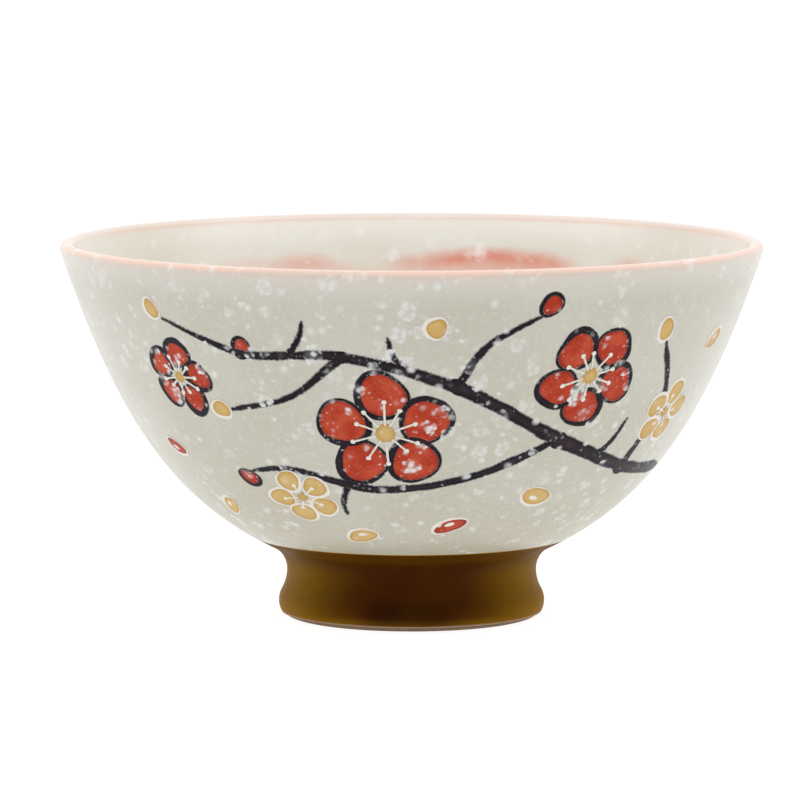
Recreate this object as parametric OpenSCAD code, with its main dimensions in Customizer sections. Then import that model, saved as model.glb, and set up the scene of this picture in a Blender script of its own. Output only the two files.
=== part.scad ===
// Rice bowl on a waisted foot: thrown clay with a luted foot ring, under separate glaze coats.
// Lengths are millimetres and angles degrees. Z is up and the bowl stands on z = 0.

/* [Rim and wall] */
// Outside diameter of the rim
rim_d = 120; // [100:1:145]
// Height from the table to the top of the lip
bowl_h = 64.5; // [54:0.1:80]
// Lean of the wall from upright where it meets the lip
rim_lean = 18.5; // [8:0.5:28]
// Length over which the wall keeps the lip's lean
rim_reach = 30.5; // [18:0.5:36]
// Thickness of the rounded lip
lip_t = 2.4; // [1.6:0.1:4]
// Thickness of the wall at the heel, above the foot
heel_t = 4.8; // [3:0.1:7]
// Slope of the underside from upright where the neck's hollow ends
heel_lean = 64; // [58:1:72]
// Length over which the underside keeps the heel's slope
heel_reach = 19; // [12:0.5:26]

/* [Well] */
// Thickness of the floor at its middle
floor_t = 5.4; // [3:0.1:9]
// Radius of the nearly flat middle of the well
well_flat = 9; // [4:0.5:14]

/* [Foot] */
// Diameter of the foot at its roll
foot_d = 45.6; // [36:0.1:58]
// Height of the waist, where the foot ring is luted to the bowl
foot_h = 8; // [7:0.1:11]
// Height of the roll's widest line
roll_h = 2.6; // [2:0.1:3]
// Radius of the roll round the foot
roll_r = 3.8; // [3:0.1:4.2]
// Depth of the waist behind the roll
waist_in = 1.4; // [0.8:0.1:1.8]
// Radius of the neck's hollow, between the waist and the underside of the bowl
neck_r = 4.6; // [3.5:0.1:6.5]
// Distance of the standing ring's outer edge in from the roll
stand_in = 2.6; // [1.6:0.1:4]
// Width of the flat ring that stands on the table
stand_w = 2.6; // [1.5:0.1:4]
// Bevel on the standing ring's inner edge
stand_bevel = 0.5; // [0.2:0.1:1.2]
// Draft of the recess wall under the foot
recess_draft = 8; // [2:1:14]

/* [Glaze] */
// Thickness of every glaze coat
glaze_t = 0.3; // [0.15:0.05:0.6]
// Distance that the foot glaze runs out under the bowl, past the neck
brown_reach = 4; // [1:0.1:8]
// Height of the bare clay left above the table
bare_h = 0.8; // [0.4:0.1:1.6]
// Radius of the glaze that pools in the corner of the recess
pool_r = 1.5; // [0.8:0.1:3]

/* [Smoothness] */
// Steps along the wall's curve
wall_steps = 26; // [12:1:60]
// Steps along each arc
arc_steps = 8; // [6:1:24]

/* [Hidden] */
$fn = 144;

clay_colour = "#a08f82";
bowl_glaze_colour = "#c7c4b7";
well_glaze_colour = "#e1dbcf";
lip_colour = "#e6bfa9";
foot_glaze_colour = "#43240c";

// Foot: the roll and the hollow below the waist are circles that touch
roll_c = [foot_d / 2 - roll_r, roll_h];
waist_r = foot_d / 2 - waist_in;
hollow_r = (pow(roll_r - waist_in, 2) + pow(foot_h - roll_h, 2) - pow(roll_r, 2)) / (2 * waist_in);
hollow_c = [waist_r + hollow_r, foot_h];
touch_a = atan2(hollow_c.y - roll_c.y, hollow_c.x - roll_c.x);
bare_a = asin((roll_h - bare_h) / roll_r);
stand_r = foot_d / 2 - stand_in;
recess_r = stand_r - stand_w - stand_bevel;
recess_glaze_z = stand_bevel + bare_h;

// Lip: a round edge that is as high as the bowl and as wide as the rim
lip_r = lip_t / 2;
lip_c = [rim_d / 2 - lip_r, bowl_h - lip_r];

// Wall: the neck's hollow, one curve from the heel to the lip, and a second to the middle of the well
neck_c = [waist_r + neck_r, foot_h];
heel = neck_c + neck_r * [-cos(heel_lean), sin(heel_lean)];
heel_dir = [sin(heel_lean), cos(heel_lean)];
wall_top = lip_c + lip_r * [cos(rim_lean), -sin(rim_lean)];
rim_dir = [sin(rim_lean), cos(rim_lean)];
wall_curve = [heel, heel + heel_reach * heel_dir, wall_top - rim_reach * rim_dir, wall_top];
well_z = foot_h + floor_t;

// Share of the wall's curve that the foot glaze covers
line_t = brown_reach / (3 * heel_reach);
line_steps = ceil(wall_steps * line_t);

// Cubic curve through four control points, its direction, and the side that faces away from the bowl
function curve_at(c, t) =
    pow(1 - t, 3) * c[0] + 3 * pow(1 - t, 2) * t * c[1] + 3 * (1 - t) * t * t * c[2] + pow(t, 3) * c[3];
function curve_way(c, t) =
    pow(1 - t, 2) * (c[1] - c[0]) + 2 * (1 - t) * t * (c[2] - c[1]) + t * t * (c[3] - c[2]);
function outward(way) = [way.y, -way.x] / norm(way);

// Lists of points
function arc(centre, r, from, to) =
    [for (i = [0:arc_steps]) let (a = from + (to - from) * i / arc_steps) centre + r * [cos(a), sin(a)]];
function reversed(list) = [for (i = [len(list) - 1:-1:0]) list[i]];
function after_first(list) = [for (i = [1:len(list) - 1]) list[i]];

// Points of the wall, depth below its outer or its inner face
function outer_at(t, depth) = curve_at(wall_curve, t) - depth * outward(curve_way(wall_curve, t));
function inner_at(t, depth) = outer_at(t, lip_t * t + heel_t * (1 - t) - depth);
function floor_curve(depth) =
    let (edge = inner_at(0, depth), middle = [0, well_z - depth])
    [edge, edge - (edge.x - well_flat) / 2 * heel_dir, middle + [well_flat, 0], middle];

// Runs of the section, from the table up and over the lip to the middle of the well.
// Depth 0 is the face of the glaze and depth glaze_t the face of the clay.
function foot_run(depth) = concat(
    arc(roll_c, roll_r - depth, -bare_a, touch_a),
    after_first(arc(hollow_c, hollow_r + depth, 180 + touch_a, 180)));
function neck_run(depth) = concat(
    arc(neck_c, neck_r + depth, 180, 180 - heel_lean),
    [for (i = [1:line_steps]) outer_at(line_t * i / line_steps, depth)]);
function heel_run(depth) =
    [for (i = [0:wall_steps]) outer_at(line_t + (1 - line_t) * i / wall_steps, depth)];
function lip_run(depth) = arc(lip_c, lip_r - depth, -rim_lean, 180 - rim_lean);
function well_run(depth) = concat(
    [for (i = [0:wall_steps]) inner_at(1 - i / wall_steps, depth)],
    [for (i = [1:arc_steps]) curve_at(floor_curve(depth), i / arc_steps)]);
function recess_at(z) = recess_r - (z - stand_bevel) * tan(recess_draft);

module turned(points) {
    rotate_extrude() polygon(points);
}

module coat(face, back) {
    turned(concat(face, reversed(back)));
}

module bowl_body() {
    color(clay_colour) turned(concat(
        [[0, foot_h]],
        neck_run(glaze_t),
        after_first(heel_run(glaze_t)),
        after_first(lip_run(glaze_t)),
        after_first(well_run(glaze_t))));
}

module foot_ring() {
    color(clay_colour) turned(concat(
        foot_run(glaze_t),
        [[recess_at(foot_h), foot_h],
         [recess_at(stand_bevel), stand_bevel],
         [stand_r - stand_w, 0],
         [stand_r, 0]]));
}

module outer_glaze() {
    color(bowl_glaze_colour) coat(heel_run(0), heel_run(glaze_t));
}

module inner_glaze() {
    color(well_glaze_colour) coat(well_run(0), well_run(glaze_t));
}

module rim_line() {
    color(lip_colour) coat(lip_run(0), lip_run(glaze_t));
}

module foot_glaze() {
    color(foot_glaze_colour) coat(
        concat(foot_run(0), after_first(neck_run(0))),
        concat(foot_run(glaze_t), after_first(neck_run(glaze_t))));
}

module recess_glaze() {
    skin = glaze_t / cos(recess_draft);
    pool_z = foot_h - glaze_t - pool_r;
    pool_c = [recess_at(pool_z) - skin - pool_r / cos(recess_draft), pool_z];
    color(foot_glaze_colour) turned(concat(
        [[0, foot_h],
         [recess_at(foot_h), foot_h],
         [recess_at(recess_glaze_z), recess_glaze_z],
         [recess_at(recess_glaze_z) - skin, recess_glaze_z]],
        arc(pool_c, pool_r, recess_draft, 90),
        [[0, foot_h - glaze_t]]));
}

bowl_body();
foot_ring();
outer_glaze();
inner_glaze();
rim_line();
foot_glaze();
recess_glaze();
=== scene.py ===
import math
import random

import bmesh
import bpy
import numpy as np
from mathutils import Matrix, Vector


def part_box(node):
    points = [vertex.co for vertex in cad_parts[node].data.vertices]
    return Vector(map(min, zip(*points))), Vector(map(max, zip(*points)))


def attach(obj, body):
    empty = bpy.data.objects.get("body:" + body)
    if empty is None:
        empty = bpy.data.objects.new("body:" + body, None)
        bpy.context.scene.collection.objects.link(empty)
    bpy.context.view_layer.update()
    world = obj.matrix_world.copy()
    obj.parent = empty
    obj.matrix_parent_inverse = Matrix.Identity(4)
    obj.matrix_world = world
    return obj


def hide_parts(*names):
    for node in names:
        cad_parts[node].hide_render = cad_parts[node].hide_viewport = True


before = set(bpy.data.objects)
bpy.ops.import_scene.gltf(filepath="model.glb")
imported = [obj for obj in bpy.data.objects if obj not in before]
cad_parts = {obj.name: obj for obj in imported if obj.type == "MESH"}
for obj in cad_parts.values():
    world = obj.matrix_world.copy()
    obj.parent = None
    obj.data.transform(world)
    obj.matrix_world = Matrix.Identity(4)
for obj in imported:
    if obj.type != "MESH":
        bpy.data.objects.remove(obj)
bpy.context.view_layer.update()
mm = 0.001


# Shader maths: a Wire is a socket that takes part in Python expressions
class Wire:
    def __init__(self, paint, socket):
        self.paint = paint
        self.socket = socket

    def out(self, name):
        return Wire(self.paint, self.socket.node.outputs[name])

    def math(self, operation, *others):
        return self.paint.node("ShaderNodeMath", {"operation": operation}, dict(enumerate([self, *others])))

    def __add__(self, other):
        return self.math("ADD", other)

    def __sub__(self, other):
        return self.math("SUBTRACT", other)

    def __rsub__(self, other):
        return self.paint.node("ShaderNodeMath", {"operation": "SUBTRACT"}, {0: other, 1: self})

    def __mul__(self, other):
        return self.math("MULTIPLY", other)

    def __truediv__(self, other):
        return self.math("DIVIDE", other)

    def __lt__(self, other):
        return self.math("LESS_THAN", other)

    __radd__ = __add__
    __rmul__ = __mul__

    def least(self, other):
        return self.math("MINIMUM", other)

    def most(self, other):
        return self.math("MAXIMUM", other)

    def spread(self, start, more):  # start where the mask is 0, and start + more where it is 1
        return start + more * self

    def smooth(self, low, high):  # 0 below low and 1 above high, or the other way round
        sockets = {"Value": self, "From Min": low, "From Max": high, "To Min": 0.0, "To Max": 1.0}
        return self.paint.node("ShaderNodeMapRange", {"interpolation_type": "SMOOTHSTEP"}, sockets)


class Paint:
    def __init__(self, owner, output="ShaderNodeOutputMaterial"):
        owner.use_nodes = True
        self.owner = owner
        self.tree = owner.node_tree
        self.tree.nodes.clear()
        self.output = self.tree.nodes.new(output)

    def node(self, kind, settings=None, sockets=None, out=0):
        made = self.tree.nodes.new(kind)
        for key, value in (settings or {}).items():
            setattr(made, key, value)
        for key, value in (sockets or {}).items():
            if isinstance(value, Wire):
                self.tree.links.new(value.socket, made.inputs[key])
            else:
                made.inputs[key].default_value = value
        return Wire(self, made.outputs[out])

    def show(self, shader):
        self.tree.links.new(shader.socket, self.output.inputs["Surface"])
        return self.owner

    def colour(self, mask, below, above):
        return self.node("ShaderNodeMix", {"data_type": "RGBA"}, {0: mask, 6: below, 7: above}, out=2)

    def vector(self, operation, first, second):
        return self.node("ShaderNodeVectorMath", {"operation": operation}, {0: first, 1: second})

    def scaled(self, vector, factor):
        return self.node("ShaderNodeVectorMath", {"operation": "SCALE"}, {0: vector, "Scale": factor})

    def place(self):  # position on the piece in millimetres
        return self.scaled(self.node("ShaderNodeTexCoord", out="Object"), 1 / mm)

    def axes(self, vector):
        split = self.node("ShaderNodeSeparateXYZ", None, {0: vector})
        return split, split.out("Y"), split.out("Z")

    def noise(self, vector, grain, detail, rough=0.5):  # grain is the size of a patch in millimetres
        sockets = {"Vector": vector, "Scale": 1.0 / grain, "Detail": detail, "Roughness": rough}
        return self.node("ShaderNodeTexNoise", None, sockets)

    def patches(self, vector, grain, detail, low, high, rough=0.5):  # noise cut between two levels
        return self.noise(vector, grain, detail, rough).smooth(low, high)

    def waver(self, vector, grain, detail, reach):  # noise round zero
        return (self.noise(vector, grain, detail) - 0.5) * reach

    def bump(self, height, strength, distance):
        sockets = {"Strength": strength, "Distance": distance, "Height": height}
        return self.node("ShaderNodeBump", None, sockets)

    def finish(self, colour, rough, normal=None, **constants):
        sockets = {"Base Color": colour, "Roughness": rough, **constants}
        if normal:
            sockets["Normal"] = normal
        return self.show(self.node("ShaderNodeBsdfPrincipled", None, sockets))


def rgb(red, green, blue):  # screen values 0 to 255, to the shader's linear ones
    def linear(value):
        part = value / 255
        return part / 12.92 if part <= 0.04045 else ((part + 0.055) / 1.055) ** 2.4
    return (linear(red), linear(green), linear(blue), 1.0)


# Section of the bowl, with the same curves as the clay and glaze solids
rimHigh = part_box("rim_line")[1]
bowl = {
    "rimR": max(rimHigh.x, rimHigh.y),
    "high": rimHigh.z,
    "rimLean": 18.5,
    "rimReach": 30.5 * mm,
    "lipThick": 2.4 * mm,
    "heelThick": 4.8 * mm,
    "heelLean": 64,
    "heelReach": 19 * mm,
    "floorThick": 5.4 * mm,
    "wellFlat": 9 * mm,
    "footR": 22.8 * mm,
    "waistHigh": 8 * mm,
    "rollHigh": 2.6 * mm,
    "rollR": 3.8 * mm,
    "waistIn": 1.4 * mm,
    "neckR": 4.6 * mm,
    "standIn": 2.6 * mm,
    "standWide": 2.6 * mm,
    "standBevel": 0.5 * mm,
    "recessDraft": 8,
    "coat": 0.3 * mm,
    "brownReach": 4 * mm,
    "bareHigh": 0.8 * mm,
    "poolR": 1.5 * mm,
}


def polar(degrees):
    return np.array([math.cos(math.radians(degrees)), math.sin(math.radians(degrees))])


waistR = bowl["footR"] - bowl["waistIn"]
rollC = np.array([bowl["footR"] - bowl["rollR"], bowl["rollHigh"]])
hollowR = (bowl["rollR"] - bowl["waistIn"]) ** 2 + (bowl["waistHigh"] - bowl["rollHigh"]) ** 2
hollowR = (hollowR - bowl["rollR"] ** 2) / (2 * bowl["waistIn"])
hollowC = np.array([waistR + hollowR, bowl["waistHigh"]])
touchA = math.degrees(math.atan2(hollowC[1] - rollC[1], hollowC[0] - rollC[0]))
bareA = math.degrees(math.asin((bowl["rollHigh"] - bowl["bareHigh"]) / bowl["rollR"]))
neckC = np.array([waistR + bowl["neckR"], bowl["waistHigh"]])
lipR = bowl["lipThick"] / 2
lipC = np.array([bowl["rimR"] - lipR, bowl["high"] - lipR])
heelDir = polar(90 - bowl["heelLean"])
rimDir = polar(90 - bowl["rimLean"])
heel = neckC + bowl["neckR"] * polar(180 - bowl["heelLean"])
wallTop = lipC + lipR * polar(-bowl["rimLean"])
wallCurve = [heel, heel + bowl["heelReach"] * heelDir, wallTop - bowl["rimReach"] * rimDir, wallTop]
lineT = bowl["brownReach"] / (3 * bowl["heelReach"])  # share of the wall's curve under the brown glaze
standR = bowl["footR"] - bowl["standIn"]

# How finely the sections are drawn and turned
turning = {
    "wall": (110, 40, 320),  # points along a coat's face, along its back and round the axis
    "lip": (28, 14, 320),
    "well": (90, 40, 256),
    "foot": (24, 16, 256),
    "ring": (24, 256),
    "recess": (12, 192),
    "underHeel": 6,
    "wellFloor": 24,
    "wornEdge": 8,
    "sharpAngle": 40,
    "onAxis": 1e-7,
}


def curveAt(c, t):
    u = 1 - t
    return u ** 3 * c[0] + 3 * u * u * t * c[1] + 3 * u * t * t * c[2] + t ** 3 * c[3]


def curveWay(c, t):
    u = 1 - t
    way = u * u * (c[1] - c[0]) + 2 * u * t * (c[2] - c[1]) + t * t * (c[3] - c[2])
    return way / np.hypot(*way)


def arc(centre, radius, start, end, steps):
    return [centre + radius * polar(start + (end - start) * i / steps) for i in range(steps + 1)]


# Points of the wall, depth below its outer or its inner face
def outerAt(t, depth):
    way = curveWay(wallCurve, t)
    return curveAt(wallCurve, t) - depth * np.array([way[1], -way[0]])


def innerAt(t, depth):
    return outerAt(t, bowl["lipThick"] * t + bowl["heelThick"] * (1 - t) - depth)


# Runs of the section: depth 0 is the face of the glaze
def footRun(depth, steps):
    roll = arc(rollC, bowl["rollR"] - depth, -bareA, touchA, steps)
    return roll + arc(hollowC, hollowR + depth, 180 + touchA, 180, steps)[1:]


def neckRun(depth, steps):
    hollow = arc(neckC, bowl["neckR"] + depth, 180, 180 - bowl["heelLean"], steps)
    count = turning["underHeel"]
    return hollow + [outerAt(lineT * i / count, depth) for i in range(1, count + 1)]


def brownRun(depth, steps):
    return footRun(depth, steps) + neckRun(depth, steps)[1:]


def heelRun(depth, steps):
    return [outerAt(lineT + (1 - lineT) * i / steps, depth) for i in range(steps + 1)]


def lipRun(depth, steps):
    return arc(lipC, lipR - depth, -bowl["rimLean"], 180 - bowl["rimLean"], steps)


def wellRun(depth, steps):
    edge = innerAt(0, depth)
    middle = np.array([0, bowl["waistHigh"] + bowl["floorThick"] - depth])
    flat = np.array([bowl["wellFlat"], 0])
    floor = [edge, edge - (edge[0] - bowl["wellFlat"]) / 2 * heelDir, middle + flat, middle]
    wall = [innerAt(1 - i / steps, depth) for i in range(steps + 1)]
    count = turning["wellFloor"]
    return wall + [curveAt(floor, i / count) for i in range(1, count + 1)]


def recessAt(high):
    inner = standR - bowl["standWide"] - bowl["standBevel"]
    return inner - (high - bowl["standBevel"]) * math.tan(math.radians(bowl["recessDraft"]))


def ringRun(steps):
    bevel, count = bowl["standBevel"], turning["wornEdge"]
    inside = [(recessAt(bowl["waistHigh"]), bowl["waistHigh"]), (recessAt(bevel), bevel)]
    roll = footRun(bowl["coat"], steps)
    way = roll[1] - roll[0]
    corner = roll[0] - way / way[1] * roll[0][1]  # where the roll would meet the table
    stand = np.array([standR, 0])
    worn = []  # the bare edge is rounded off between the roll and the table
    for i in range(1, count):
        t = i / count
        worn.append((1 - t) ** 2 * stand + 2 * (1 - t) * t * corner + t * t * roll[0])
    return roll + inside + [(standR - bowl["standWide"], 0), stand] + worn


def recessRun(steps):
    draft, top, start = bowl["recessDraft"], bowl["waistHigh"], bowl["standBevel"] + bowl["bareHigh"]
    slant = math.cos(math.radians(draft))
    skin = bowl["coat"] / slant
    poolHigh = top - bowl["coat"] - bowl["poolR"]
    poolC = np.array([recessAt(poolHigh) - skin - bowl["poolR"] / slant, poolHigh])
    wall = [(0, top), (recessAt(top), top), (recessAt(start), start), (recessAt(start) - skin, start)]
    return wall + arc(poolC, bowl["poolR"], draft, 90, steps) + [(0, top - bowl["coat"])]


def meshPiece(name, verts, faces, material):
    mesh = bpy.data.meshes.new(name)
    mesh.from_pydata([tuple(map(float, v)) for v in verts], [], faces)
    shape = bmesh.new()
    shape.from_mesh(mesh)
    bmesh.ops.recalc_face_normals(shape, faces=shape.faces)
    shape.to_mesh(mesh)
    shape.free()
    mesh.shade_smooth()
    mesh.set_sharp_from_angle(angle=math.radians(turning["sharpAngle"]))
    mesh.materials.append(material)
    piece = bpy.data.objects.new(name, mesh)
    bpy.context.scene.collection.objects.link(piece)
    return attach(piece, "root")


# A closed section turned round the bowl's axis, as one smooth mesh
def turned(name, section, material, around):
    verts, faces, rings = [], [], []
    onAxis = [radius < turning["onAxis"] for radius, high in section]
    for (radius, high), point in zip(section, onAxis):
        rings.append(len(verts))
        if point:
            verts.append((0, 0, high))
            continue
        for i in range(around):
            a = 2 * math.pi * i / around
            verts.append((radius * math.sin(a), -radius * math.cos(a), high))
    for k, low in enumerate(rings):
        after = (k + 1) % len(rings)
        top = rings[after]
        if onAxis[k] and onAxis[after]:
            continue
        for i in range(around):
            j = (i + 1) % around
            if onAxis[k]:
                faces.append((low, top + j, top + i))
            elif onAxis[after]:
                faces.append((low + i, low + j, top))
            else:
                faces.append((low + i, low + j, top + j, top + i))
    return meshPiece(name, verts, faces, material)


def turnedCoat(name, run, material, fineness):
    face, back, around = fineness
    return turned(name, run(0, face) + run(bowl["coat"], back)[::-1], material, around)


# White flecks that float in the glaze: flakes of merging dots, single spots and fine grains.
# Lengths are millimetres. Pairs named Size, Crowd or Strength are a start and what is added to it at most.
flecks = {
    "melted": False,
    "grow": 1.0,
    "wander": (1.1, 3.0, 0.9),  # grain, detail and reach of the noise that makes the flecks uneven
    "drift": (15.0, 2.0, 0.34, 0.6),  # grain, detail and the two levels of the noise that gathers them
    "bandSlope": 0.35,  # the thickest drift slants down to the right across the front
    "bandHigh": 40.0,
    "bandFade": (30.0, 6.0),
    "bandShare": (0.4, 0.6),
    "bareSide": (28.0, 50.0),  # there are fewer flecks this far to the right
    "bareShare": 0.5,
    "lotFade": 0.15,
    "core": 0.14,  # share of a fleck's radius that is solid white
    "coreGap": 0.02,
    "flakeCell": 3.9,
    "flakeRadius": 3.5,
    "flakeSize": (0.4, 0.6),
    "flakeRim": 0.3,  # how far a flake fades along the borders of its cell
    "flakeCrowd": (0.25, 0.75),
    "flakeMore": 0.0,
    "flakeStrength": (0.45, 0.55),
    "haze": 0.22,  # strength of the milky ground of a flake
    "dotCell": 1.15,
    "dotRadius": 0.95,
    "dotFade": 0.35,
    "dotMerge": 0.5,  # how far the dots of a flake run into each other
    "spotCell": 2.3,
    "spotRadius": 1.25,
    "spotSize": (0.3, 0.7),
    "spotRim": 0.07,
    "spotCrowd": (0.3, 0.7),
    "spotStrength": (0.35, 0.6),
    "grainCell": 0.85,
    "grainRadius": 0.46,
    "grainShare": 0.8,
    "grainStrength": (0.2, 0.4),
}
wellFlecks = {  # the flecks of the well are larger and have melted further
    **flecks,
    "melted": True,
    "grow": 1.7,
    "wander": (1.1, 3.0, 3.0),
    "core": -0.3,
    "flakeRadius": 1.75,
    "flakeMore": 0.15,
    "flakeStrength": (0.25, 0.75),
    "haze": 0.95,
}


def fleckMask(paint, where, kind):
    grow = kind["grow"]
    grain, detail, reach = kind["wander"]
    sway = paint.vector("SUBTRACT", paint.noise(where, grain * grow, detail).out("Color"), (0.5, 0.5, 0.5))
    moved = paint.vector("ADD", where, paint.scaled(sway, reach * grow))
    x, _, z = paint.axes(where)
    band = (z + x * kind["bandSlope"] - kind["bandHigh"]).math("ABSOLUTE").smooth(*kind["bandFade"])
    crowd = paint.patches(where, *kind["drift"]) * band.spread(*kind["bandShare"])
    crowd = crowd * (1 - kind["bareShare"] * x.smooth(*kind["bareSide"]))

    def cells(size, feature, **more):
        sockets = {"Vector": moved, "Scale": 1.0 / size / grow, **more}
        return paint.node("ShaderNodeTexVoronoi", {"feature": feature}, sockets)

    def scattered(size):  # distance to the nearest centre, and three random numbers of that cell
        near = cells(size, "F1")
        return near * size, *paint.axes(near.out("Color"))

    def whole(size, fade):  # 0 along the borders of the cells, so that no fleck is cut off there
        return cells(size, "DISTANCE_TO_EDGE").smooth(0.0, fade)

    def blob(near, reach):
        return near.smooth(reach, reach * kind["core"] - kind["coreGap"])

    near, large, lot, hue = scattered(kind["flakeCell"])
    chosen = (crowd.spread(*kind["flakeCrowd"]) + kind["flakeMore"] - lot).smooth(0.0, kind["lotFade"])
    flake = near.smooth(large.spread(*kind["flakeSize"]) * kind["flakeRadius"], 0.0) * chosen
    flake = flake * whole(kind["flakeCell"], kind["flakeRim"])
    strength = hue.spread(*kind["flakeStrength"])
    if kind["melted"]:
        snow = flake * kind["haze"] * strength
    else:
        near = cells(kind["dotCell"], "SMOOTH_F1", Smoothness=kind["dotMerge"]) * kind["dotCell"]
        dots = blob(near, kind["dotRadius"] * flake.smooth(0.0, kind["dotFade"])) * strength
        snow = dots.most(flake * kind["haze"])

    near, large, lot, hue = scattered(kind["spotCell"])
    chosen = (crowd.spread(*kind["spotCrowd"]) - lot).smooth(0.0, kind["lotFade"])
    spot = blob(near, large.spread(*kind["spotSize"]) * kind["spotRadius"]) * chosen
    spot = spot * whole(kind["spotCell"], kind["spotRim"]) * hue.spread(*kind["spotStrength"])
    snow = snow.most(spot)
    if kind["melted"]:
        return snow

    near, large, lot, hue = scattered(kind["grainCell"])
    speck = blob(near, large * kind["grainRadius"]) * (lot < kind["grainShare"])
    return snow.most(speck * hue.spread(*kind["grainStrength"]))


# Pale glaze with flecks, shared by the outside, the lip and the inside.
# Fades are millimetres below the top of the lip, and shares say how strongly a tint is mixed in.
glaze = {
    "outside": rgb(198, 196, 185),
    # warm tone of the glaze's clouds and mottle, also used as painted shade on the lower wall
    "outsideWarmAndShade": rgb(182, 176, 156),
    "outsideTintAndShade": (0.3, 0.4, 0.5),  # shares of cloud, mottle and height in the warm tint; the share by height is painted shade on the lower wall
    "lowShadeFade": (30.0, 52.0),
    "outsideTop": rgb(208, 203, 193),  # lighter near the lip
    "inside": rgb(232, 230, 221),
    "insideWarm": rgb(222, 217, 204),
    "insideTint": (0.5, 0.3),
    # painted light: the well is lighter near the lip, where the light from above falls
    "insideTopLight": rgb(246, 243, 236),
    "insideSideShade": rgb(212, 206, 192),  # painted shade on the left and right sides of the well
    "paintedSideRange": (0.3, 0.7),
    "sideShadeFade": (24.0, 6.0),
    "sideShadeShare": 0.6,
    "topFade": (7.0, 0.6),
    "cloud": (19.0, 3.0, 0.3, 0.7),  # grain, detail and the two levels of a noise
    "mottle": (0.9, 4.0, 0.25, 0.75, 0.7),
    "fleck": rgb(224, 224, 223),
    "fleckShare": 0.8,
    "lipFleck": rgb(238, 234, 231),
    "lipFleckFade": (2.5, 1.2),
    "insideFleck": rgb(252, 251, 249),
    "insideFleckShare": 0.85,
    "insideFleckFade": (1.2, 3.5),
    "wash": rgb(222, 130, 106),
    "crest": rgb(214, 204, 198),  # the very top of the lip
    "crestFade": (0.7, 0.1),
    "crestShare": 0.8,
    "lip": rgb(239, 191, 168),
    "lipLine": (1.25, 0.45),
    "lipInner": 0.3,  # how much further down the line goes on the inner side
    "lipTurn": 0.6,  # distance from the middle of the lip to its inner and outer side
    "lipWaver": (1.6, 3.0, 1.0),
    "lipRagged": 0.6,
    "lipTail": (2.5, 0.5),  # the blush under the line
    "lipTailShare": 0.2,
    "lipPale": (0.0, 0.9),  # the line is paler along the top of the lip
    "lipPaleShare": 0.7,
    "lipCloud": (22.0, 2.0, 0.25, 0.65),
    "lipStrength": (0.45, 0.3),
    "lipInnerLoss": 0.4,
    "ripple": (3.2, 3.0),
    "rippleHigh": 0.6,
    "fleckHigh": 0.35,
    "bump": (0.12, 0.0004),
    "rough": 0.26,
    "roughCloud": 0.08,
    "ior": 1.5,
}


def lipMask(paint, where, below, inward, fleck):
    ragged = paint.waver(where, *glaze["lipWaver"])
    line = (below + ragged * glaze["lipRagged"] - inward * glaze["lipInner"]).smooth(*glaze["lipLine"])
    tail = (below + ragged).smooth(*glaze["lipTail"]) * glaze["lipTailShare"]
    pale = 1 - (1 - below.smooth(*glaze["lipPale"])) * inward * glaze["lipPaleShare"]
    strength = paint.patches(where, *glaze["lipCloud"]).spread(*glaze["lipStrength"])
    return (line * pale * strength).most(tail) * (1 - fleck) * (1 - inward * glaze["lipInnerLoss"])


def outsideColour(paint, below, fleck, cloud, mottle):
    cloudTint, mottleTint, lowShadeShare = glaze["outsideTintAndShade"]
    # painted shade: the lower wall, which faces down, is darkened together with the glaze's own warm clouds
    # and mottle
    tintAndShade = cloud * cloudTint + mottle * mottleTint + below.smooth(*glaze["lowShadeFade"]) * lowShadeShare
    colour = paint.colour(tintAndShade.least(1.0), glaze["outside"], glaze["outsideWarmAndShade"])
    colour = paint.colour(below.smooth(*glaze["topFade"]), colour, glaze["outsideTop"])
    colour = paint.colour(below.smooth(*glaze["crestFade"]) * glaze["crestShare"], colour, glaze["crest"])
    snow = paint.colour(below.smooth(*glaze["lipFleckFade"]), glaze["fleck"], glaze["lipFleck"])
    return paint.colour(fleck * glaze["fleckShare"], colour, snow)


def insideColour(paint, where, below, fleck, cloud, mottle):
    x, y, _ = paint.axes(where)
    cloudTint, mottleTint = glaze["insideTint"]
    colour = paint.colour(cloud * cloudTint + mottle * mottleTint, glaze["inside"], glaze["insideWarm"])
    # painted light from above on the upper well
    colour = paint.colour(below.smooth(*glaze["topFade"]), colour, glaze["insideTopLight"])
    # painted shade: the well is darker on its left and right sides, most near the top
    aside = x * x / (x * x + y * y + 1.0)
    sideWeighted = aside.smooth(*glaze["paintedSideRange"]) * below.smooth(*glaze["sideShadeFade"]) * glaze["sideShadeShare"]
    colour = paint.colour(sideWeighted, colour, glaze["insideSideShade"])
    colour = paint.colour(washMask(paint, where, x, y, below), colour, glaze["wash"])
    colour = paint.colour(fleck * glaze["insideFleckShare"], colour, glaze["insideFleck"])
    return paint.colour(below.smooth(*glaze["crestFade"]) * glaze["crestShare"], colour, glaze["crest"])


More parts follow.
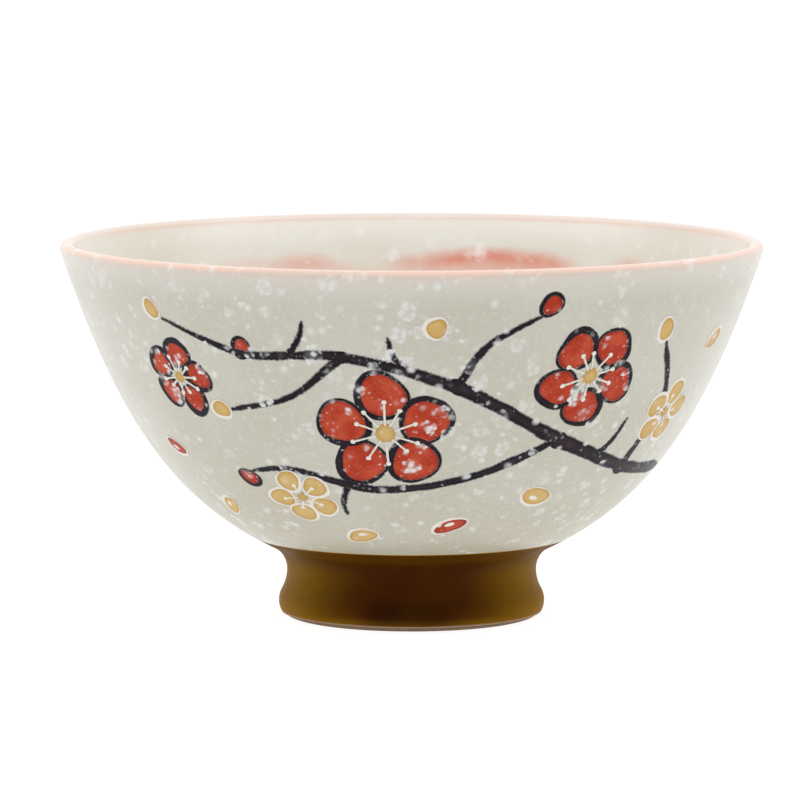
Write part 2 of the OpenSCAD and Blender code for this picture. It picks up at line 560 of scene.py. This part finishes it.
def glazeMaterial(name, side):  # side is outside, inside or lip
    paint = Paint(bpy.data.materials.new(name))
    where = paint.place()
    x, y, z = paint.axes(where)
    below = bowl["high"] / mm - z
    fleck = fleckMask(paint, where, wellFlecks if side == "inside" else flecks)
    cloud = paint.patches(where, *glaze["cloud"])
    mottle = paint.patches(where, *glaze["mottle"])
    if side == "outside":
        inward = 0.0
        base = outsideColour(paint, below, fleck, cloud, mottle)
    elif side == "inside":
        inward = 1.0
        fleck = fleck * below.smooth(*glaze["insideFleckFade"])
        base = insideColour(paint, where, below, fleck, cloud, mottle)
    else:
        middle = lipC[0] / mm
        inward = (x * x + y * y).math("SQRT").smooth(middle + glaze["lipTurn"], middle - glaze["lipTurn"])
        fleck = fleck * (1 - inward)
        outer = outsideColour(paint, below, fleck, cloud, mottle)
        base = paint.colour(inward, outer, insideColour(paint, where, below, fleck, cloud, mottle))
    base = paint.colour(lipMask(paint, where, below, inward, fleck), base, glaze["lip"])
    ripple = paint.noise(where, *glaze["ripple"]) * glaze["rippleHigh"] + fleck * glaze["fleckHigh"]
    bump = paint.bump(ripple, *glaze["bump"])
    return paint.finish(base, glaze["rough"] + cloud * glaze["roughCloud"], bump, IOR=glaze["ior"])


# Red wash brushed round the inside of the bowl: a band with a wavy upper edge
wash = {
    "edge": 6.6,  # millimetres below the top of the lip
    "edgeFade": (0.0, 2.6),
    "edgeWaver": (4.0, 3.0, 1.4),
    "end": (25.0, 16.0),
    "least": 0.06,
    "waves": [  # angle from the back, half width, rise of the edge, strength of the colour
        (16, 22, 1.5, 0.82),
        (4, 12, 0.0, 0.34),
        (27, 9, 0.0, 0.3),
        (-2, 6, 0.0, 0.15),
        (-10, 7, -1.3, 0.1),
        (-21, 14, 0.5, 0.45),
        (-34, 9, 0.5, 0.14),
        (36, 6, -0.8, 0.0),
        (45, 9, 1.0, 0.32),
        (-95, 34, 1.2, 0.7),
        (118, 38, 1.4, 0.8),
        (-160, 32, 1.0, 0.75),
    ],
    "pool": (5.0, 2.4),  # the colour gathers along the upper edge
    "poolStrength": (0.5, 0.5),
    "smearStretch": (1.0, 1.0, 0.25),
    "smear": (3.6, 2.0, 0.2, 0.7),
    "smearStrength": (0.8, 0.25),
}


def washMask(paint, where, x, y, below):
    around = x.math("ARCTAN2", y) * (180 / math.pi)  # 0 at the back, positive to the viewer's right
    depth = below - wash["edge"] + paint.waver(where, *wash["edgeWaver"])
    strength = wash["least"]
    for middle, half, lift, share in wash["waves"]:
        near = (around - middle).math("WRAP", 180.0, -180.0).math("ABSOLUTE")
        wave = near.smooth(half, 0.0)
        depth = depth + wave * lift
        strength = strength + wave * share
    band = depth.smooth(*wash["edgeFade"]) * below.smooth(*wash["end"])
    paintedShade = depth.smooth(*wash["pool"]).spread(*wash["poolStrength"])
    smears = paint.patches(paint.vector("MULTIPLY", where, wash["smearStretch"]), *wash["smear"])
    return band * paintedShade * strength.least(1.0) * smears.spread(*wash["smearStrength"])


# Brown iron glaze of the foot: dark brown, amber where it breaks thin over the lower edge, with painted
# light that turns it amber at left and right and painted shade under the bowl and low at front and back.
# Edges and painted shades are heights in millimetres. Sides run from 0 at front and back to 1 at left and
# right.
brown = {
    "waver": (6.0, 2.0, 0.6),
    "cloud": (7.0, 3.0, 0.3, 0.75),
    "thick": rgb(62, 22, 0),
    # painted light: amber where the side light falls on the foot
    "sideLitAmber": rgb(118, 84, 0),
    "sideLitRange": (0.02, 0.85),
    "sideWaver": 0.1,
    "outerFace": (280.0, 360.0),  # squares of the radii between which the outer face begins
    # painted shade: dark under the bowl's overhang and low on the front and back
    "paintedShade": rgb(28, 4, 0),
    "paintedShadeShare": 0.8,
    "underBowlShade": (8.5, 12.5),
    "lowFrontShade": (6.5, 3.5),
    "lowFrontShadeSide": (0.2, 0.0),
    # amber where the glaze breaks thin over the lower edge
    "sideWeighted": rgb(118, 82, 0),
    "thinEdge": (2.7, 0.8),
    "paintedSideRange": (0.0, 0.3),
    "thinStrength": (0.35, 0.55),
    "thinCloud": 0.1,
    "speck": rgb(40, 14, 0),
    "speckGrain": (0.3, 2.0, 0.55, 0.75),
    "speckShare": 0.35,
    "line": rgb(188, 148, 16),  # the upper edge, from its start to its end under the top
    "lineStart": 0.55,
    "lineEnd": 0.1,
    "lineWaver": 0.15,
    "wiped": rgb(146, 122, 104),
    "wipedEdge": (1.18, 1.0),  # below these heights the glaze was wiped thin
    "ripple": (1.4, 3.0),
    "bump": (0.1, 0.0003),
    "rough": 0.42,
    "roughCloud": 0.1,
    "shine": {"Specular IOR Level": 0.03, "Sheen Weight": 0.2, "Sheen Tint": (1.0, 0.42, 0.02, 1.0)},
}


def brownGlazeMaterial():
    paint = Paint(bpy.data.materials.new("brownIronGlaze"))
    where = paint.place()
    x, y, z = paint.axes(where)
    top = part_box("foot_glaze")[1].z / mm
    waver = paint.waver(where, *brown["waver"])
    high = z + waver
    highAtLine = z + waver * brown["lineWaver"]
    cloud = paint.patches(where, *brown["cloud"])
    across = x * x + y * y
    side = x * x / (across + 0.01) + waver * brown["sideWaver"]
    # painted light: amber on the left and right of the foot, where the light from the sides falls
    sideLitAmber = side.smooth(*brown["sideLitRange"]) * across.smooth(*brown["outerFace"])
    base = paint.colour(sideLitAmber, brown["thick"], brown["sideLitAmber"])
    # painted shade: darker at the top under the bowl's overhang, and low on the dim front and back
    lowFrontShade = high.smooth(*brown["lowFrontShade"]) * side.smooth(*brown["lowFrontShadeSide"])
    paintedShade = high.smooth(*brown["underBowlShade"]).most(lowFrontShade)
    base = paint.colour(paintedShade * brown["paintedShadeShare"], base, brown["paintedShade"])
    # amber where the glaze breaks thin over the lower edge, kept weaker at front and back as painted shade
    sideWeighted = high.smooth(*brown["thinEdge"]) * side.smooth(*brown["paintedSideRange"]).spread(*brown["thinStrength"])
    base = paint.colour(sideWeighted + cloud * brown["thinCloud"], base, brown["sideWeighted"])
    specks = paint.patches(where, *brown["speckGrain"]) * brown["speckShare"]
    base = paint.colour(specks, base, brown["speck"])
    line = highAtLine.smooth(top - brown["lineStart"], top - brown["lineEnd"])
    base = paint.colour(line, base, brown["line"])
    base = paint.colour(highAtLine.smooth(*brown["wipedEdge"]), base, brown["wiped"])
    bump = paint.bump(paint.noise(where, *brown["ripple"]), *brown["bump"])
    return paint.finish(base, brown["rough"] + cloud * brown["roughCloud"], bump, **brown["shine"])


# Bare stoneware of the standing ring
clay = {
    "body": rgb(120, 94, 66),
    "dark": rgb(84, 62, 44),
    "grit": (0.5, 4.0, 0.35, 0.7),
    "gritShare": 0.7,
    "iron": rgb(78, 52, 36),
    "ironScale": 0.8,
    "ironFade": (0.16, 0.1),
    "ironShare": 0.7,
    "rough": 0.85,
    "gritGloss": 0.1,
    "bump": (0.4, 0.0002),
}


def clayMaterial():
    paint = Paint(bpy.data.materials.new("bareStoneware"))
    where = paint.place()
    grit = paint.patches(where, *clay["grit"])
    base = paint.colour(grit * clay["gritShare"], clay["body"], clay["dark"])
    spot = paint.node("ShaderNodeTexVoronoi", None, {"Vector": where, "Scale": clay["ironScale"]})
    base = paint.colour(spot.smooth(*clay["ironFade"]) * clay["ironShare"], base, clay["iron"])
    return paint.finish(base, clay["rough"] - grit * clay["gritGloss"], paint.bump(grit, *clay["bump"]))


# The bowl's own pieces
bareClay = clayMaterial()
brownGlaze = brownGlazeMaterial()
outsideGlaze = glazeMaterial("paleFleckedGlaze", "outside")
insideGlaze = glazeMaterial("warmWellGlaze", "inside")
lipGlaze = glazeMaterial("peachLipGlaze", "lip")
print("clay and glazes mixed")

bowlGlaze = turnedCoat("bowlGlaze", heelRun, outsideGlaze, turning["wall"])
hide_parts("outer_glaze")
lipLine = turnedCoat("lipLine", lipRun, lipGlaze, turning["lip"])
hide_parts("rim_line")
wellGlaze = turnedCoat("wellGlaze", wellRun, insideGlaze, turning["well"])
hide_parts("inner_glaze")
footGlaze = turnedCoat("footGlaze", brownRun, brownGlaze, turning["foot"])
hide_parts("foot_glaze")
ringSteps, ringAround = turning["ring"]
standingRing = turned("standingRing", ringRun(ringSteps), bareClay, ringAround)
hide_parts("foot_ring")
recessSteps, recessAround = turning["recess"]
recessGlaze = turned("recessGlaze", recessRun(recessSteps), brownGlaze, recessAround)
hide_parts("recess_glaze")
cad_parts["bowl_body"].data.materials.clear()
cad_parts["bowl_body"].data.materials.append(bareClay)
print("clay and glaze coats turned")

# Painting on the wall: every stroke and petal is a thin raised sheet that follows the curve of the bowl
painting = {
    "wallSteps": 300,
    "seed": 7,
    "sink": 0.06 * mm,  # how far a sheet's back lies under the face of the glaze
    "across": 7,
    "strokeEdge": 5,  # powers: the higher, the flatter a sheet is before it falls to its edge
    "patchEdge": 6,
    "patchGrid": 13,
    "crown": 0.35,  # share of its height that a patch of colour loses towards its edge
    "step": 0.45,  # millimetres between the points of an outline
    "loopTrace": 200,
    "loopLeast": 20,
    "loopBleed": 3,  # a branch bleeds this many times as far as an outline
    "press": 0.5,  # how much an outline thickens where the brush presses
    "branchSteps": 40,
    "branchStart": (20, 0.05),
    "branchEnd": (9, 0.15, 0.7),
    "waver": 0.14,
    "waverLeast": 4,
    "waverEvery": 5,
    "waverFall": 0.8,
    "waverLimits": (0.45, 1.8),
}
wallT = np.linspace(lineT, 1, painting["wallSteps"])
wallR, wallZ = np.array([outerAt(t, 0) for t in wallT]).T
wallS = np.concatenate([[0], np.cumsum(np.hypot(np.diff(wallR), np.diff(wallZ)))])
wallWay = np.array([curveWay(wallCurve, t) for t in wallT])
brushHand = np.random.default_rng(painting["seed"])
chance = random.Random(painting["seed"])


def onWall(turn, up, lift):  # angle from the front, distance up the wall, height off the glaze
    radius = np.interp(up, wallS, wallR) + lift * np.interp(up, wallS, wallWay[:, 1])
    high = np.interp(up, wallS, wallZ) - lift * np.interp(up, wallS, wallWay[:, 0])
    return np.stack([radius * np.sin(turn), -radius * np.cos(turn), high], axis=-1)


def nearPoint(spot, x, y):  # millimetres right and up of a spot given by its angle and height
    up = np.interp(spot[1] * mm, wallZ, wallS) + np.asarray(y) * mm
    return math.radians(spot[0]) + np.asarray(x) * mm / np.interp(up, wallS, wallR), up


def unsteady(count):  # random widening and narrowing along a stroke, alike at both ends of a loop
    t = np.arange(count) / count * 2 * math.pi
    wide = np.ones(count)
    for k in range(1, max(painting["waverLeast"], count // painting["waverEvery"])):
        high = painting["waver"] / k ** painting["waverFall"] * brushHand.normal()
        wide += high * np.sin(k * t + brushHand.uniform(0, 2 * math.pi))
    return np.clip(wide, *painting["waverLimits"])


class Brushwork:
    def __init__(self, lift, bleed):
        self.lift = lift * mm
        self.bleed = bleed
        self.verts = []
        self.faces = []
        self.edge = []  # millimetres outside the edge of the stroke, negative within it

    def sheet(self, turn, up, rise, edge, looped=False):
        rows, columns = turn.shape
        start = len(self.verts)
        self.verts += list(onWall(turn, up, self.lift * rise).reshape(-1, 3))
        self.verts += list(onWall(turn, up, np.full(turn.shape, -painting["sink"])).reshape(-1, 3))
        self.edge += 2 * list(edge.reshape(-1))
        back = rows * columns

        def at(i, j):
            return start + (i % rows) * columns + j

        for i in range(rows if looped else rows - 1):
            for j in range(columns - 1):
                top = [at(i, j), at(i, j + 1), at(i + 1, j + 1), at(i + 1, j)]
                self.faces += [top, [v + back for v in top[::-1]]]
            for j in (0, columns - 1):
                self.faces.append([at(i, j), at(i + 1, j), at(i + 1, j) + back, at(i, j) + back])
        if not looped:
            for i in (0, rows - 1):
                for j in range(columns - 1):
                    self.faces.append([at(i, j), at(i, j + 1), at(i, j + 1) + back, at(i, j) + back])

    def stroke(self, turn, up, wide, bleed, looped=False):
        radius = np.interp(up, wallS, wallR)
        ahead = np.gradient(turn) * radius
        rising = np.gradient(up)
        if looped:
            ahead = (np.roll(turn, -1) - np.roll(turn, 1)) * radius
            rising = np.roll(up, -1) - np.roll(up, 1)
        length = np.hypot(ahead, rising)
        v = np.linspace(-1, 1, painting["across"])
        left, right = (wide / 2 * unsteady(len(turn)) for _ in range(2))
        half = np.where(v < 0, left[:, None], right[:, None])
        side = v * (half + bleed) * mm
        edge = np.abs(v) * (half + bleed) - half
        turns = turn[:, None] - side * (rising / length / radius)[:, None]
        rise = np.broadcast_to(1 - np.abs(v) ** painting["strokeEdge"], turns.shape)
        self.sheet(turns, up[:, None] + side * (ahead / length)[:, None], rise, edge, looped)

    def patch(self, spot, outline):  # a filled shape inside an outline round a spot
        grid = np.linspace(-1, 1, painting["patchGrid"])
        u, v = np.meshgrid(grid, grid, indexing="ij")
        inside = np.hypot(u * np.sqrt(1 - v * v / 2), v * np.sqrt(1 - u * u / 2))
        x, y, middle = outline(np.arctan2(v * np.sqrt(1 - u * u / 2), u * np.sqrt(1 - v * v / 2)))
        turn, up = nearPoint(spot, middle[0] + inside * x, middle[1] + inside * y)
        rise = 1 - painting["crown"] * inside ** painting["patchEdge"]
        self.sheet(turn, up, rise, (inside - 1) * np.hypot(x, y).mean())

    def loop(self, spot, outline, line):
        x, y, middle = outline(np.linspace(0, 2 * math.pi, painting["loopTrace"], endpoint=False))
        around = np.hypot(np.diff(x), np.diff(y)).sum()
        count = max(painting["loopLeast"], int(around / painting["step"]))
        a = np.linspace(0, 2 * math.pi, count, endpoint=False)
        x, y, middle = outline(a)
        turn, up = nearPoint(spot, middle[0] + x, middle[1] + y)
        wide = line * (1 + painting["press"] * np.sin(a + middle[0]))
        self.stroke(turn, up, wide, self.bleed / painting["loopBleed"], True)

    def branch(self, points, startWide, endWide):  # a curve through spots given by angle and height
        turns, highs = np.array(points).T
        knots = np.stack([np.radians(turns), np.interp(highs * mm, wallZ, wallS)], axis=-1)
        slope = np.gradient(knots, axis=0)
        t = np.linspace(0, len(knots) - 1, painting["branchSteps"] * (len(knots) - 1) + 1)
        k = np.minimum(t.astype(int), len(knots) - 2)
        f = (t - k)[:, None]
        path = (2 * f ** 3 - 3 * f * f + 1) * knots[k] + (f ** 3 - 2 * f * f + f) * slope[k]
        path += (3 * f * f - 2 * f ** 3) * knots[k + 1] + (f ** 3 - f * f) * slope[k + 1]
        share = t / t[-1]
        wide = startWide + (endWide - startWide) * share
        swell, blunt = painting["branchStart"]
        taper, tip, power = painting["branchEnd"]
        ends = np.sqrt(np.minimum(1, share * swell + blunt))
        ends = ends * np.minimum(1, (1 - share) * taper + tip) ** power
        self.stroke(path[:, 0], path[:, 1], wide * ends, self.bleed)


# Paints and enamels of the decoration
paints = {
    "inkPainting": {
        "slot": "dark_paint",
        "lift": 0.05,  # millimetres that it stands off the glaze
        "bleed": 0.3,  # millimetres that the colour runs past the edge of a stroke
        "body": rgb(32, 22, 28),
        "streaks": rgb(62, 48, 54),
        "rim": rgb(10, 9, 20),
        "halo": rgb(128, 132, 128),  # ink that has run out into the glaze
        "snow": 0.9,  # share of the flecks that float over the paint
    },
    "redPainting": {
        "slot": "red_paint",
        "lift": 0.03,
        "bleed": 0.0,
        "body": rgb(166, 46, 22),
        "streaks": rgb(198, 88, 62),
        "rim": rgb(128, 30, 16),
        "snow": 0.95,
    },
    "ochreEnamel": {
        "slot": "ochre_enamel",
        "lift": 0.1,
        "bleed": 0.0,
        "body": rgb(200, 164, 96),
        "streaks": rgb(208, 180, 124),
        "rim": rgb(182, 142, 76),
        "snow": 0.25,
    },
    "whiteEnamel": {
        "slot": "white_enamel",
        "lift": 0.13,
        "bleed": 0.05,
        "body": rgb(236, 234, 229),
        "streaks": rgb(226, 221, 212),
        "rim": rgb(222, 216, 206),
        "halo": glaze["outside"],
        "snow": 0.0,
    },
}
strokeLook = {
    "ragged": (0.45, 3.0, 0.5),
    "streak": (3.4, 4.0, 0.35, 0.7, 0.6),
    "streakShare": 0.65,
    "grain": (0.28, 2.0, 0.4, 0.7),
    "grainShare": 0.25,
    "rimFade": (-1.1, -0.1),  # millimetres outside the edge of a stroke
    "rimShare": 0.75,
    "haloStart": -0.1,
    "haloEnd": 0.5,  # shares of the bleed
    "clearStart": 0.3,
    "ripple": (0.6, 3.0),
    "bump": (0.15, 0.0002),
    "rough": 0.3,
    "roughStreak": 0.1,
    "specular": 0.1,
}
brushes = {name: Brushwork(kind["lift"], kind["bleed"]) for name, kind in paints.items()}
ink, red, ochre, white = brushes.values()


def paintMaterial(name, kind):
    paint = Paint(bpy.data.materials.new(name))
    where = paint.place()
    edge = paint.node("ShaderNodeAttribute", {"attribute_name": "edge"}, out="Fac")
    edge = edge + paint.waver(where, *strokeLook["ragged"])
    streak = paint.patches(where, *strokeLook["streak"])
    grain = paint.patches(where, *strokeLook["grain"])
    worn = streak * strokeLook["streakShare"] + grain * strokeLook["grainShare"]
    colour = paint.colour(worn, kind["body"], kind["streaks"])
    rim = edge.smooth(*strokeLook["rimFade"]) * strokeLook["rimShare"]
    colour = paint.colour(rim, colour, kind["rim"])
    bleed = kind["bleed"]
    if bleed:
        halo = edge.smooth(strokeLook["haloStart"], bleed * strokeLook["haloEnd"])
        clear = edge.smooth(bleed * strokeLook["clearStart"], bleed)
        colour = paint.colour(halo, colour, kind["halo"])
        colour = paint.colour(clear, colour, glaze["outside"])
    if kind["snow"]:
        fleck = fleckMask(paint, where, flecks).smooth(0.0, 1.0)
        colour = paint.colour(fleck * kind["snow"], colour, glaze["fleck"])
    bump = paint.bump(paint.noise(where, *strokeLook["ripple"]), *strokeLook["bump"])
    shine = {"Specular IOR Level": strokeLook["specular"]}
    return paint.finish(colour, strokeLook["rough"] + streak * strokeLook["roughStreak"], bump, **shine)


# Blossoms, buds and petals. Lengths are shares of the flower's own width or length,
# but lines and the stamens' tips are millimetres, and turns are degrees.
flower = {
    "uneven": (0.06, 0.045),
    "petals": 5,
    "petalOut": 0.315,
    "petalWide": 0.37,
    "redLine": 0.8,
    "ochreLine": 0.55,
    "stamens": 10,
    "stamenSway": 6,
    "stamenStart": 0.07,
    "stamenReach": (0.2, 0.28),
    "stamenPoints": 9,
    "stamenLine": 0.34,
    "stamenTip": 0.85,
    "heart": 0.15,
    "budLong": 1.15,
    "budLine": 0.55,
    "fallenWide": 0.62,
    "fallenLine": 0.5,
    "dabOut": 0.08,
    "dabTurn": 60,
    "dabWide": 0.16,
    "dabLong": 0.3,
    "knotLong": 1.3,
}


def oval(middle, wide, long, tilt):  # a slightly uneven oval; tilt turns its long side
    sway, nod = chance.uniform(0, 6), chance.uniform(0, 6)
    c, s = math.cos(math.radians(tilt)), math.sin(math.radians(tilt))
    second, third = flower["uneven"]

    def outline(a):
        reach = 1 + second * np.sin(2 * a + sway) + third * np.sin(3 * a + nod)
        x, y = long / 2 * reach * np.cos(a), wide / 2 * reach * np.sin(a)
        return c * x - s * y, s * x + c * y, middle

    return outline


def petal(spot, shape, fill, lines, line):
    fill.patch(spot, shape)
    lines.loop(spot, shape, line)


def blossom(spot, wide, turn, fill, lines, line):
    out, across, heart = (flower[key] * wide for key in ("petalOut", "petalWide", "heart"))
    for i in range(flower["petals"]):
        a = turn + 360 / flower["petals"] * i
        petal(spot, oval(out * polar(a), across, across, a), fill, lines, line)
    points, tip, sway = (flower[key] for key in ("stamenPoints", "stamenTip", "stamenSway"))
    for i in range(flower["stamens"]):
        a = turn + 360 / flower["stamens"] * i + chance.uniform(-sway, sway)
        reach = wide * chance.uniform(*flower["stamenReach"])
        if lines is white and i % 2:
            continue
        run = np.linspace(flower["stamenStart"] * wide, reach, points)
        turns, ups = nearPoint(spot, *np.outer(polar(a), run))
        white.stroke(turns, ups, np.full(points, flower["stamenLine"]), white.bleed)
        white.patch(spot, oval(reach * polar(a), tip, tip, 0))
    ochre.patch(spot, oval((0, 0), heart, heart, 0))


def bud(spot, wide, tilt, fill, lines):
    petal(spot, oval((0, 0), wide, wide * flower["budLong"], tilt), fill, lines, flower["budLine"])


def fallen(spot, long, tilt, fill):
    petal(spot, oval((0, 0), long * flower["fallenWide"], long, tilt), fill, white, flower["fallenLine"])
    dab = flower["dabOut"] * long * polar(tilt + flower["dabTurn"])
    white.patch(spot, oval(dab, long * flower["dabWide"], long * flower["dabLong"], tilt))


# One spray of plum blossom, painted on the front and again on the back
spray = {
    "branches": [  # spots as angle from the front and height in millimetres, then the widths
        ([(76, 27), (52, 29), (28, 36), (8, 45), (-12, 50), (-30, 50), (-46, 55)], 2.8, 0.9),
        ([(30, 35), (12, 29), (-8, 27), (-26, 30), (-38, 29)], 1.8, 0.8),
        ([(8, 45), (13, 52), (22, 57)], 1.3, 0.7),
        ([(52, 29), (55, 40), (49, 51)], 1.7, 0.8),
        ([(-12, 50), (-22, 43), (-36, 40)], 1.3, 0.7),
        ([(41, 31.5), (44, 34), (46, 38)], 1.4, 0.5),
        ([(-21, 50.3), (-19, 53), (-18, 56)], 1.2, 0.4),
        ([(0, 47.5), (-3, 50), (-4, 53.5)], 1.2, 0.4),
        ([(-14, 27.5), (-16, 24.5), (-16, 22)], 1.1, 0.4),
    ],
    # then spots with a width or length in millimetres and a turn in degrees
    "knots": [((8, 45), 3.0, 150), ((30, 35), 3.2, 150), ((52, 29), 3.3, 165), ((-12, 50), 2.4, 170)],
    "redBlossoms": [((-5, 37), 23, 20), ((33, 46), 19, 55), ((-46, 45), 14, 5)],
    "ochreBlossoms": [((-26, 25), 12.5, 40), ((58, 38), 12.5, 10)],
    "redBuds": [((23, 58.5), 3.6, 60), ((-38, 28), 3.4, 170), ((-30, 51), 3.2, 100)],
    "ochreBuds": [((48, 53), 3.8, 110), ((-38, 40), 3.4, 150), ((-48, 56.5), 3.4, 120), ((4, 55), 3.6, 80)],
    "redFallen": [((10, 20), 6.0, 35), ((-58, 32), 5.0, 150)],
    "ochreFallen": [((30, 25), 6.4, 160), ((-14, 18), 6.0, 20), ((-52, 22), 5.4, 60), ((66, 50), 5.0, 40)],
}


def paintSpray(turnedBy):
    def place(spot):
        return turnedBy + spot[0], spot[1]

    for points, startWide, endWide in spray["branches"]:
        ink.branch([place(spot) for spot in points], startWide, endWide)
    for spot, wide, tilt in spray["knots"]:
        ink.patch(place(spot), oval((0, 0), wide, wide * flower["knotLong"], tilt))
    for spot, wide, turn in spray["redBlossoms"]:
        blossom(place(spot), wide, turn, red, ink, flower["redLine"])
    for spot, wide, turn in spray["ochreBlossoms"]:
        blossom(place(spot), wide, turn, ochre, white, flower["ochreLine"])
    for petals, lines, key in ((red, ink, "redBuds"), (ochre, white, "ochreBuds")):
        for spot, wide, tilt in spray[key]:
            bud(place(spot), wide, tilt, petals, lines)
    for petals, key in ((red, "redFallen"), (ochre, "ochreFallen")):
        for spot, long, tilt in spray[key]:
            fallen(place(spot), long, tilt, petals)


paintSpray(0)
paintSpray(180)
for name, kind in paints.items():
    brush = brushes[name]
    piece = meshPiece(name, brush.verts, brush.faces, paintMaterial(name, kind))
    piece.data.attributes.new("edge", "FLOAT", "POINT").data.foreach_set("value", brush.edge)
print("painting laid on")

# Floor, light and camera
stage = {
    "floor": 8.0,
    "floorTone": 0.22,
    "floorGlow": 0.9,
    "floorRough": 0.8,
    "front": 0.3,
    "back": 1.15,
    "backFade": (-0.7, 0.35),
    "top": 1.55,
    "topFade": (0.15, 0.9),
}


def studioFloor():
    half = stage["floor"] / 2
    tone = (*[stage["floorTone"]] * 3, 1.0)
    glow = {
        "Emission Color": (1, 1, 1, 1),
        "Emission Strength": stage["floorGlow"],
        "Specular IOR Level": 0.0,
    }
    paint = Paint(bpy.data.materials.new("studioFloor"))
    mesh = bpy.data.meshes.new("studioFloor")
    corners = [(-half, -half, 0), (half, -half, 0), (half, half, 0), (-half, half, 0)]
    mesh.from_pydata(corners, [], [(0, 1, 2, 3)])
    mesh.materials.append(paint.finish(tone, stage["floorRough"], **glow))
    floor = bpy.data.objects.new("studioFloor", mesh)
    bpy.context.scene.collection.objects.link(floor)


def lightTent():  # white cloth all round, brightest overhead and dimmest behind the camera
    paint = Paint(bpy.data.worlds.new("lightTent"), "ShaderNodeOutputWorld")
    _, y, z = paint.axes(paint.node("ShaderNodeTexCoord", out="Generated"))
    level = y.smooth(*stage["backFade"]).spread(stage["front"], stage["back"] - stage["front"])
    overhead = z.smooth(*stage["topFade"])
    level = level * (1 - overhead) + stage["top"] * overhead
    sky = paint.node("ShaderNodeBackground", None, {"Color": (1, 1, 1, 1), "Strength": level})
    bpy.context.scene.world = paint.show(sky)


studioFloor()
lightTent()

# The photograph's view: distance, height, tilt and focal length
camera = {
    "away": 1.0,
    "high": 149.23 * mm,
    "tilt": 6.404,
    "turn": 0.114,
    "focalPixels": 5873,
    "framePixels": 800,
    "sensor": 36.0,
    "clip": (0.05, 50),
}
lens = bpy.data.cameras.new("photoView")
lens.sensor_width = camera["sensor"]
lens.lens = camera["focalPixels"] / camera["framePixels"] * camera["sensor"]
lens.clip_start, lens.clip_end = camera["clip"]
view = bpy.data.objects.new("photoView", lens)
view.location = (0, -camera["away"], camera["high"])
view.rotation_euler = [math.radians(90 - camera["tilt"]), 0, math.radians(camera["turn"])]
bpy.context.scene.collection.objects.link(view)
bpy.context.scene.camera = view
bpy.context.scene.view_settings.view_transform = "Standard"
print("studio and camera placed")
